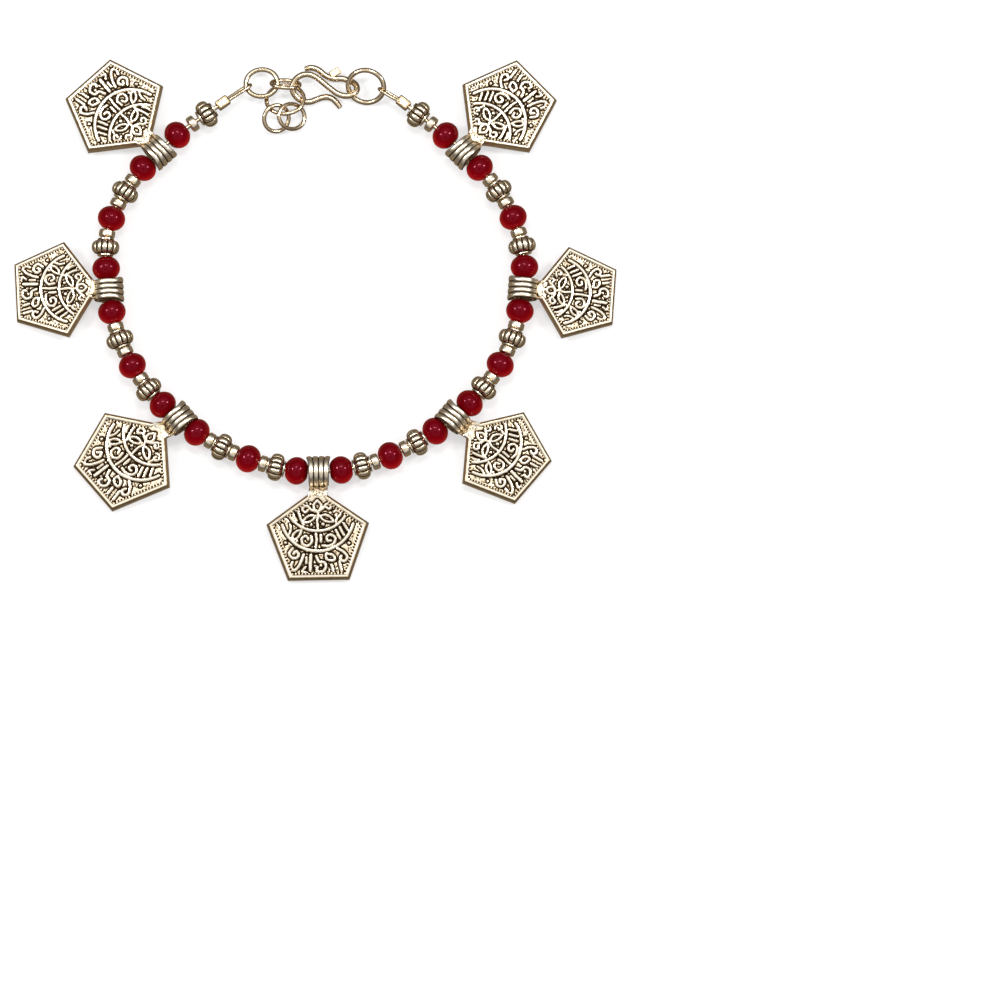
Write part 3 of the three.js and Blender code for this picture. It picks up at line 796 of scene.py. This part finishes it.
def reliefOf(places):
    # height above the ground, the dark grooves and the stippled ground of the plate's face
    edge = np.full(len(places), 1e9)
    for inward, offset in outlineSides(1):
        edge = np.minimum(edge, places @ np.array(inward) - offset)
    outside = np.full(len(places), 1e9)
    for width, points in strokes:
        outside = np.minimum(outside, distanceTo(smoothPath(points), places) - width / 2)
    for along, across, radius in bosses:
        outside = np.minimum(outside, np.hypot(places[:, 0] - along, places[:, 1] - across) - radius)
    for arc in arcs:
        centre = arc["bottom"] - arc["radius"]
        turns = np.linspace(-arc["halfTurn"], arc["halfTurn"], 40)
        path = np.stack([centre + arc["radius"] * np.cos(turns), arc["radius"] * np.sin(turns)], 1)
        outside = np.minimum(outside, distanceTo(path, places) - arc["width"] / 2)
    # no stroke runs into the dotted border
    borderEnd = pendant["rim"] + pendant["border"]
    outside = np.where(edge < borderEnd, np.maximum(outside, 0.5), outside)
    raised = smooth((0.1 - outside) / 0.2)
    # the rim is left open where the neck comes in
    halfMouth, mouthDepth = pendant["mouth"]
    opened = (1 - smooth((np.abs(places[:, 1]) - halfMouth) / 0.2)) * (places[:, 0] < mouthDepth)
    rim = smooth((pendant["rim"] + 0.08 - edge) / 0.18) * (1 - opened)
    groove = smooth((outside + 0.05) / 0.08) * (1 - smooth((outside - pendant["groove"]) / 0.1))
    corners = outlineCorners(1, pendant["rim"] + pendant["pitInset"])
    pits = np.zeros(len(places))
    for start, end in zip(corners, corners[1:] + corners[:1]):
        size = math.dist(start, end)
        count = round(size / pendant["pitSpacing"])
        for index in range(count):
            spot = [start[k] + (end[k] - start[k]) * (index + 0.5) / count for k in (0, 1)]
            gap = np.hypot(places[:, 0] - spot[0], places[:, 1] - spot[1])
            pits = np.maximum(pits, 1 - smooth((gap - pendant["pitSize"]) / 0.08))
    pits *= 1 - opened
    dark = np.maximum(groove, pits) * (1 - np.maximum(raised, rim))
    height = np.maximum(raised, rim) - 0.35 * dark
    ground = (1 - np.maximum(raised, rim)) * (1 - dark)
    stippled = ground * smooth((edge - pendant["rim"] - pendant["border"]) / 0.2)
    # the face's outermost edge is coloured darker, a thin outline all round
    outerEdge = (1 - smooth((edge - 0.06) / 0.1)) * (1 - opened)
    groundAndEdgeTone = np.maximum(pendant["groundStain"] * ground, pendant["edgeDarkening"] * outerEdge)
    return height, np.maximum(dark, groundAndEdgeTone), stippled


def spreadWall(plate, top):
    # each point of the wall goes out from the face's outline towards the base's
    places = pointsOf(plate)
    inner, outer = (np.array(outlineCorners(share)) for share in (1, 0))
    depth = top - places[:, 2]
    nearest = np.full(len(places), 1e9)
    base = places[:, :2].copy()
    for index in range(5):
        after = (index + 1) % 5
        run = inner[after] - inner[index]
        share = np.clip((places[:, :2] - inner[index]) @ run / (run @ run), 0, 1)[:, None]
        gap = np.hypot(*(places[:, :2] - inner[index] - share * run).T)
        own = outer[index] + share * (outer[after] - outer[index])
        base = np.where((gap < nearest)[:, None], own, base)
        nearest = np.minimum(nearest, gap)
    onWall = (nearest < 0.02) & (depth > 0.03)
    spread = np.interp(depth, wall["depths"], wall["spreads"]) * onWall
    places[:, :2] += spread[:, None] * (base - places[:, :2])
    movePoints(plate, places)
    return onWall, np.interp(depth, wall["depths"], wall["darkenings"])


def modelPlate():
    # a fine sheet trimmed to the outline, its face raised, its edge drawn down to a closed back
    deselectAll()
    width, length, cell = pendant["width"], pendant["length"], pendant["grid"]
    bpy.ops.mesh.primitive_grid_add(
        x_subdivisions=round(length / cell), y_subdivisions=round(width / cell), size=1,
        location=(length / 2, 0, 0))
    plate = bpy.context.object
    plate.name = "plate"
    openMesh()
    bpy.ops.transform.resize(value=(length, width, 1), center_override=(length / 2, 0, 0))
    closeMesh()
    bpy.ops.object.transform_apply(location=True, rotation=False, scale=False)
    openMesh()
    top = pendant["underside"] + pendant["thickness"]
    for inward, offset in outlineSides(1):
        selectWhole()
        bpy.ops.mesh.bisect(
            plane_co=(inward[0] * offset, inward[1] * offset, 0), plane_no=(inward[0], inward[1], 0),
            clear_inner=True, threshold=0.001)
    selectWhole()
    bpy.ops.mesh.remove_doubles(threshold=0.004)
    closeMesh()
    places = pointsOf(plate)
    height, dark, ground = reliefOf(places[:, :2])
    low, high = height.min(), height.max()
    group = plate.vertex_groups.new(name="relief")
    for index, value in enumerate((height - low) / (high - low)):
        group.add([index], float(value), "REPLACE")
    setMask(plate, "patina_and_shade", dark)
    setMask(plate, "ground", ground)
    lift = plate.modifiers.new("relief", "DISPLACE")
    lift.direction = "Z"
    lift.vertex_group = "relief"
    lift.mid_level = 0
    lift.strength = (high - low) * pendant["relief"]
    bpy.ops.object.modifier_apply(modifier=lift.name)
    openMesh()
    selectWhole()
    bpy.ops.transform.translate(value=(0, 0, top - high * pendant["relief"] + low * pendant["relief"]))
    bpy.ops.mesh.region_to_loop()
    for above, below in zip(wall["depths"], wall["depths"][1:]):
        bpy.ops.mesh.extrude_region_move(TRANSFORM_OT_translate={"value": (0, 0, above - below)})
    bpy.ops.mesh.edge_face_add()
    selectWhole()
    bpy.ops.mesh.normals_make_consistent(inside=False)
    closeMesh()
    onWall, darkenings = spreadWall(plate, top)
    patina_and_shade = np.zeros(len(darkenings))
    plate.data.attributes["patina_and_shade"].data.foreach_get("value", patina_and_shade)
    setMask(plate, "patina_and_shade", np.where(onWall, darkenings, patina_and_shade))
    bpy.ops.object.shade_smooth_by_angle(angle=math.radians(50))
    return plate


def modelBail():
    radius, depth, length = bail["radius"], bail["grooveDepth"], bail["length"]
    pitch = length / bail["ridges"]
    profile = [(bail["bore"], -length / 2)]
    for ridge in range(bail["ridges"]):
        for share in bail["ridgeShares"]:
            crest = (1 - abs(2 * share - 1) ** bail["roundness"]) ** 0.5
            profile.append((radius - depth * (1 - crest), -length / 2 + (ridge + share) * pitch))
    profile += [(bail["bore"], length / 2), profile[0]]
    piece = spunPiece("bail", profile, bail["sides"])
    piece.data.transform(Matrix.Rotation(-math.pi / 2, 4, "X"))
    places = pointsOf(piece)
    reach = np.hypot(places[:, 0], places[:, 2])
    ridgeShare = (places[:, 1] + length / 2) / pitch % 1
    fromGroove = np.minimum(ridgeShare, 1 - ridgeShare) * pitch
    inGroove = (1 - smooth((fromGroove - 0.07) / 0.1)) * (reach > bail["bore"] + 0.1)
    behind = smooth((-places[:, 0] - 1.6) / 1.5)
    places[:, 1] *= 1 + bail["flare"] * behind
    places[:, 0] -= bail["lip"] * behind
    movePoints(piece, places)
    setMask(piece, "patina_and_shade", np.maximum(bail["stain"], inGroove))
    return piece


def modelNeck():
    # from inside the bail's wall to the plate, widening and rising to it
    start, end, width = neck["start"], neck["end"], neck["width"]
    top, bottom = pendant["underside"] + pendant["thickness"] - 0.02, pendant["underside"] + 0.1
    middle = ((start + end) / 2, 0, (top + bottom) / 2)
    stem = startBox((end - start, width, top - bottom), middle)
    closeMesh()
    bpy.ops.object.transform_apply(location=True, rotation=False, scale=False)
    selectPoints(stem, lambda place: place.x > end - 0.1)
    bpy.ops.transform.resize(value=(1, neck["widening"], 1), center_override=(end, 0, 0))
    selectWhole()
    bpy.ops.mesh.bevel(offset=neck["edge"], segments=3, affect="EDGES")
    bpy.ops.mesh.subdivide(number_cuts=5)
    closeMesh()
    places = pointsOf(stem)
    along = (places[:, 0] - start) / (end - start)
    rise = np.clip((places[:, 2] - bottom) / (top - bottom), 0, 1)
    across = np.abs(places[:, 1]) / (width / 2 * (1 + (neck["widening"] - 1) * along))
    between = 1 - smooth((across - 0.66) / 0.16)
    climb = smooth((along - 0.12) / 0.36)
    places[:, 2] -= neck["slope"] * rise * (1 - climb) + neck["hollow"] * rise * between
    movePoints(stem, places)
    setMask(stem, "ground", between)
    # painted shade where the neck runs in under the bail; the neck's lower half is also coloured darker
    shaded = neck["shadeUnderBail"] * (1 - smooth((along - 0.14) / 0.1))
    setMask(stem, "patina_and_shade", np.maximum(shaded, 0.15 * between + 0.5 * (rise < 0.5)))
    bpy.ops.object.shade_smooth_by_angle(angle=math.radians(40))
    return stem


def neckPlace(plateStart, aside):
    # drawn out to its casting's plate and aside with it
    spare = neck["end"] - neck["start"]
    reach = (plateStart + neck["intoPlate"] - neck["start"]) / spare
    lean = aside / spare
    return Matrix((
        (reach, 0, 0, neck["start"] * (1 - reach)), (lean, 1, 0, -lean * neck["start"]),
        (0, 0, 1, 0), (0, 0, 0, 1),
    ))


# how each casting differs: its plate's length and width as shares, how far the plate's apex stands
# past the bail's crest and aside of its middle, and its turn outward in degrees
castings = [
    (1.05, 1.03, -0.85, 0.4, -2.6),
    (0.95, 0.99, -1.3, -0.8, -4.2),
    (1.09, 1.02, -0.2, -0.9, -10),
    (1.04, 1.05, 0.25, -0.4, 0),
    (0.98, 0.97, 0.15, 0.7, 10.4),
    (0.92, 0.95, -1.0, 0.1, 2.2),
    (1.06, 0.98, -0.9, 0.5, -0.7),
]


def leanOf(foot):
    # the casting leans on its bail and on the lower edge of its foot
    reach = math.hypot(foot, pendant["underside"])
    return math.asin(bail["radius"] / reach) + math.atan2(pendant["underside"], foot)


def castPendants():
    plate, bailShape, stem = modelPlate(), modelBail(), modelNeck()
    hangers = [place[1:] for place in stringPlaces if place[0] == "pendant"]
    for index, ((x, y, heading), casting) in enumerate(zip(hangers, castings)):
        long, wide, apart, aside, turn = casting
        start = bail["radius"] + apart
        holder = (shrink @ Matrix.Translation((x, y, bail["radius"] + shift.z))
                  @ Matrix.Rotation(math.radians(heading - 90 + turn), 4, "Z")
                  @ Matrix.Rotation(leanOf(start + long * pendant["length"]), 4, "Y"))
        grown = Matrix.Translation((start, aside, 0)) @ Matrix.Diagonal((long, wide, 1, 1))
        parts = [
            placedCopy(plate, "plate_part", holder @ grown),
            placedCopy(bailShape, "bail_part", holder),
            placedCopy(stem, "neck_part", holder @ neckPlace(start, aside)),
        ]
        whole = joined(parts, f"cast_pendant_{index + 1}")
        finishPiece(whole, pendantMetal, "oxidised_silver", f"pendant_{index + 1}")
    for shape in (plate, bailShape, stem):
        bpy.data.objects.remove(shape)


castPendants()
print("pendants cast")

# rings of the clasp: place, lean about X and Y in degrees, length, width and wire
clasp = {
    "ring_left": ((-11.35, 41.02, 2.15), (-3.8, -5.5), 7.9, 7.05, 1.05),
    "ring_joining": ((-6.22, 40.77, 2.24), (-56.7, 9.3), 7.0, 5.1, 0.9),
    "ring_spare": ((-6.31, 37.45, 1.78), (-21.1, -4.5), 9.0, 8.1, 0.9),
    "ring_drop_1": ((-8.18, 33.28, 2.16), (17.7, 23.6), 6.6, 6.6, 0.9),
    "ring_drop_2": ((-4.9, 33.68, 2.25), (7.9, 33.0), 7.4, 6.3, 0.9),
    "ring_right": ((11.05, 40.21, 2.51), (28.6, -14.7), 9.0, 8.4, 1.1),
}


def ringPlace(name):
    at, lean = clasp[name][:2]
    return (Matrix.Translation(Vector(at) + shift) @ Matrix.Rotation(math.radians(lean[1]), 4, "Y")
            @ Matrix.Rotation(math.radians(lean[0]), 4, "X"))


def bendRing(name):
    length, width, wire = clasp[name][2:]
    deselectAll()
    bpy.ops.mesh.primitive_torus_add(
        major_radius=(length - wire) / 2, minor_radius=wire / 2, major_segments=56, minor_segments=16)
    ring = bpy.context.object
    ring.name = name + "_shape"
    places = pointsOf(ring)
    turn = np.arctan2(places[:, 1], places[:, 0])
    places[:, 1] -= (length - width) / 2 * np.sin(turn)
    movePoints(ring, places)
    ring.data.transform(shrink @ ringPlace(name))
    bpy.ops.object.shade_smooth_by_angle(angle=math.radians(40))
    finishPiece(ring, plainMetal, "polished_silver", name)


for ringName in clasp:
    bendRing(ringName)
print("rings closed")

# the hook, its wire's points in millimetres from one tail to the other
hook = {
    "wire": 1.3,
    "tip": 0.82,
    "tag": (2.3, 1.5, 0.7),
    "tagAside": 0.3,
    "tagGap": 0.1,
    "tagHeight": 1.05,
    "tagTurn": 0.6,
    "tagEdge": 0.15,
    "tagStain": 0.45,
}
hookPoints = [
    (-2.12, 44.37, 0.7), (-0.86, 44.66, 0.7), (0.73, 44.22, 0.7), (2.31, 42.96, 0.7),
    (4.09, 42.26, 0.7), (5.87, 42.26, 0.7), (7.39, 41.81, 0.8), (8.57, 41.15, 1.1),
    (9.13, 39.97, 1.6), (8.46, 38.73, 2.1), (6.94, 38.15, 2.3), (5.16, 38.54, 2.3),
    (3.39, 39.76, 2.3), (1.61, 41.26, 2.3), (0.0, 42.46, 2.3), (-1.59, 42.9, 2.3),
    (-3.36, 42.42, 2.3), (-4.44, 41.25, 2.1), (-4.78, 39.83, 1.9), (-4.07, 38.33, 1.3),
    (-2.68, 37.37, 0.8), (-1.05, 37.17, 0.7), (0.54, 37.74, 0.7), (2.14, 38.22, 0.7),
    (3.56, 38.02, 0.7), (4.61, 37.17, 0.7), (5.53, 35.91, 0.7),
]


def bendHook():
    points = [Vector(point) + shift for point in hookPoints]
    wire = bentWire("hook_wire", points, hook["wire"], fineness=5, tips=(hook["tip"],))
    seat = points[4]
    middle = (seat.x + hook["tagAside"], seat.y + hook["tag"][0] / 2 + hook["tagGap"],
              hook["tagHeight"])
    tag = startBox(hook["tag"], middle)
    bpy.ops.transform.rotate(value=-hook["tagTurn"], orient_axis="Z", center_override=middle)
    bpy.ops.mesh.bevel(offset=hook["tagEdge"], segments=3, affect="EDGES")
    closeMesh()
    bpy.ops.object.transform_apply(location=True, rotation=False, scale=False)
    setMask(tag, "patina_and_shade", np.full(len(tag.data.vertices), hook["tagStain"]))
    whole = joined([wire, tag], "hook_shape")
    whole.data.transform(shrink)
    finishPiece(whole, plainMetal, "polished_silver", "s_hook")


bendHook()
print("hook bent")

# crimps: a square tube on each end of the string with a long wire eye, and where that eye holds on
crimps = {
    "left_crimp": {"place": stringPlaces[0], "ring": "ring_left", "angle": 197, "roll": 22},
    "right_crimp": {"place": stringPlaces[-1], "ring": "ring_right", "angle": -20, "roll": -22},
}
crimp = {
    "length": 2.9,
    "width": 2.1,
    "chamfer": 0.3,
    "windowInset": 0.2,
    "windowDepth": 0.22,
    "darkenings": {"tube": 0.42, "window edge": 0.65, "window": 0.12},
    "eyeWire": 0.68,
    "clearance": 0.15,
    "seat": 0.72,
}


def pointOnRing(name, degrees):
    length, width, wire = clasp[name][2:]
    turn = math.radians(degrees)
    place = Vector(((length - wire) / 2 * math.cos(turn), (width - wire) / 2 * math.sin(turn), 0))
    return ringPlace(name) @ place


def pressCrimp(name):
    own = crimps[name]
    tube = startBox((crimp["length"], crimp["width"], crimp["width"]), (0, 0, 0))
    bpy.ops.mesh.bevel(offset=crimp["chamfer"], segments=3, affect="EDGES")
    bpy.ops.mesh.select_mode(type="FACE")
    bpy.ops.mesh.select_all(action="DESELECT")
    closeMesh()
    for face in tube.data.polygons:
        face.select = face.normal.z > 0.99 and face.area > 1
    openMesh()
    bpy.ops.mesh.inset(thickness=crimp["windowInset"])
    bpy.ops.mesh.extrude_region_move(TRANSFORM_OT_translate={"value": (0, 0, -crimp["windowDepth"])})
    closeMesh()
    places = pointsOf(tube)
    half = crimp["width"] / 2 - crimp["chamfer"] - 0.1
    inWindow = (np.abs(places[:, 1]) < half) & (places[:, 2] > 0)
    onEdge = places[:, 2] > crimp["width"] / 2 - 0.1
    darkenings = crimp["darkenings"]
    inside = np.where(onEdge, darkenings["window edge"], darkenings["window"])
    setMask(tube, "patina_and_shade", np.where(inWindow, inside, darkenings["tube"]))
    _, x, y, heading = own["place"]
    centre = Vector((x, y, stringHeight))
    tube.data.transform(Matrix.Translation(centre) @ Matrix.Rotation(math.radians(heading), 4, "Z"))
    bpy.ops.object.shade_smooth_by_angle(angle=math.radians(35))

    held = pointOnRing(own["ring"], own["angle"])
    bend = (clasp[own["ring"]][4] + crimp["eyeWire"]) / 2 + crimp["clearance"]
    reach = held - centre
    outward = reach.normalized()
    level = outward.cross(Vector((0, 0, 1))).normalized()
    upright = level.cross(outward)
    basis = Matrix((outward, upright, level)).transposed().to_4x4()
    place = Matrix.Translation(held) @ basis @ Matrix.Rotation(math.radians(own["roll"]), 4, "X")
    straight = reach.length - crimp["seat"] - bend
    points = []
    for start, middle in ((-90, 0.0), (90, -straight)):
        for index in range(7):
            turn = math.radians(start + 30 * index)
            points.append(place @ Vector((middle + bend * math.cos(turn), bend * math.sin(turn), 0)))
    eye = bentWire("eye", points, crimp["eyeWire"], closed=True, fineness=3)
    whole = joined([tube, eye], name + "_shape")
    whole.data.transform(shrink)
    finishPiece(whole, plainMetal, "polished_silver", name)


for crimpName in crimps:
    pressCrimp(crimpName)
print("crimps pressed")

# floor and light
studio = {
    "floor": (0.93, 0.93, 0.93, 1),
    "floorInMetal": (0.24, 0.19, 0.13, 1),
    "floorSize": 6.0,
    "surround": 0.7,
    "overheadInMetal": 1.02,
    "levelInMetal": 0.1,
    "brightInMetal": ((0, 0.4, 0.92), 30, 0.22),
    "darkInMetal": ((0, -0.42, 0.91), 17, -0.75),
    "whiteInFloor": 0.55,
    "keyLights": [
        ("left box", (-0.66, 0.115, 0.74), (0.16, 0.2), 3.3),
        ("back box", (0, 0.325, 0.945), (0.32, 0.075), 2.2),
        ("right box", (0.66, 0.115, 0.74), (0.16, 0.2), 3.3),
    ],
    "lightDistance": 0.9,
}


def lobe(tree, toward, direction, width):
    # how near a direction is to a lobe's middle
    near = addNode(tree, "ShaderNodeVectorMath", {
        0: toward, 1: Vector(direction).normalized(),
    }, operation="DOT_PRODUCT")
    return addNode(tree, "ShaderNodeMapRange", {
        "Value": near.outputs["Value"], "From Min": math.cos(math.radians(width)), "From Max": 1.0,
    }, interpolation_type="SMOOTHSTEP").outputs[0]


def setStudio():
    deselectAll()
    bpy.ops.mesh.primitive_plane_add(size=studio["floorSize"], location=(0, 0, -0.0001))
    floor = bpy.context.object
    floor.name = "floor"
    material, tree, shader = newMaterial("pale floor")
    shader.inputs["Base Color"].default_value = studio["floor"]
    shader.inputs["Roughness"].default_value = 0.9
    dim = addNode(tree, "ShaderNodeEmission", {"Color": studio["floorInMetal"]})
    rays = addNode(tree, "ShaderNodeLightPath")
    mirrored = addNode(tree, "ShaderNodeMixShader", {
        0: rays.outputs["Is Glossy Ray"], 1: shader.outputs[0], 2: dim.outputs[0],
    })
    white = addNode(tree, "ShaderNodeEmission", {"Color": (1, 1, 1, 1)})
    share = addNode(tree, "ShaderNodeMath", {
        0: rays.outputs["Is Camera Ray"], 1: studio["whiteInFloor"],
    }, operation="MULTIPLY")
    seen = addNode(tree, "ShaderNodeMixShader", {
        0: share.outputs[0], 1: mirrored.outputs[0], 2: white.outputs[0],
    })
    tree.links.new(seen.outputs[0], tree.nodes["Material Output"].inputs["Surface"])
    floor.data.materials.append(material)
    world = bpy.data.worlds.new("surround")
    world.use_nodes = True
    around = world.node_tree
    rays = addNode(around, "ShaderNodeLightPath")
    toward = addNode(around, "ShaderNodeTexCoord").outputs["Generated"]
    rising = addNode(around, "ShaderNodeSeparateXYZ", {0: toward})
    inMetal = addNode(around, "ShaderNodeMapRange", {
        "Value": rising.outputs["Z"], "From Min": 0.25, "From Max": 0.98,
        "To Min": studio["levelInMetal"], "To Max": studio["overheadInMetal"],
    }, interpolation_type="SMOOTHSTEP")
    for direction, width, amount in (studio["brightInMetal"], studio["darkInMetal"]):
        inMetal = addNode(around, "ShaderNodeMath", {
            0: lobe(around, toward, direction, width), 1: amount, 2: inMetal.outputs[0],
        }, operation="MULTIPLY_ADD")
    strength = addNode(around, "ShaderNodeMapRange", {
        "Value": rays.outputs["Is Glossy Ray"],
        "To Min": studio["surround"], "To Max": inMetal.outputs[0],
    })
    around.nodes["Background"].inputs["Color"].default_value = (1, 1, 1, 1)
    around.links.new(strength.outputs[0], around.nodes["Background"].inputs["Strength"])
    bpy.context.scene.world = world
    for name, toward, size, power in studio["keyLights"]:
        toward = Vector(toward).normalized()
        bpy.ops.object.light_add(type="AREA", location=toward * studio["lightDistance"])
        light = bpy.context.object
        light.name = name
        light.data.shape = "RECTANGLE"
        light.data.size, light.data.size_y = size
        light.data.energy = power
        light.rotation_euler = (-toward).to_track_quat("-Z", "Y").to_euler()
    bpy.context.scene.view_settings.view_transform = "Standard"


setStudio()
print("studio lit")
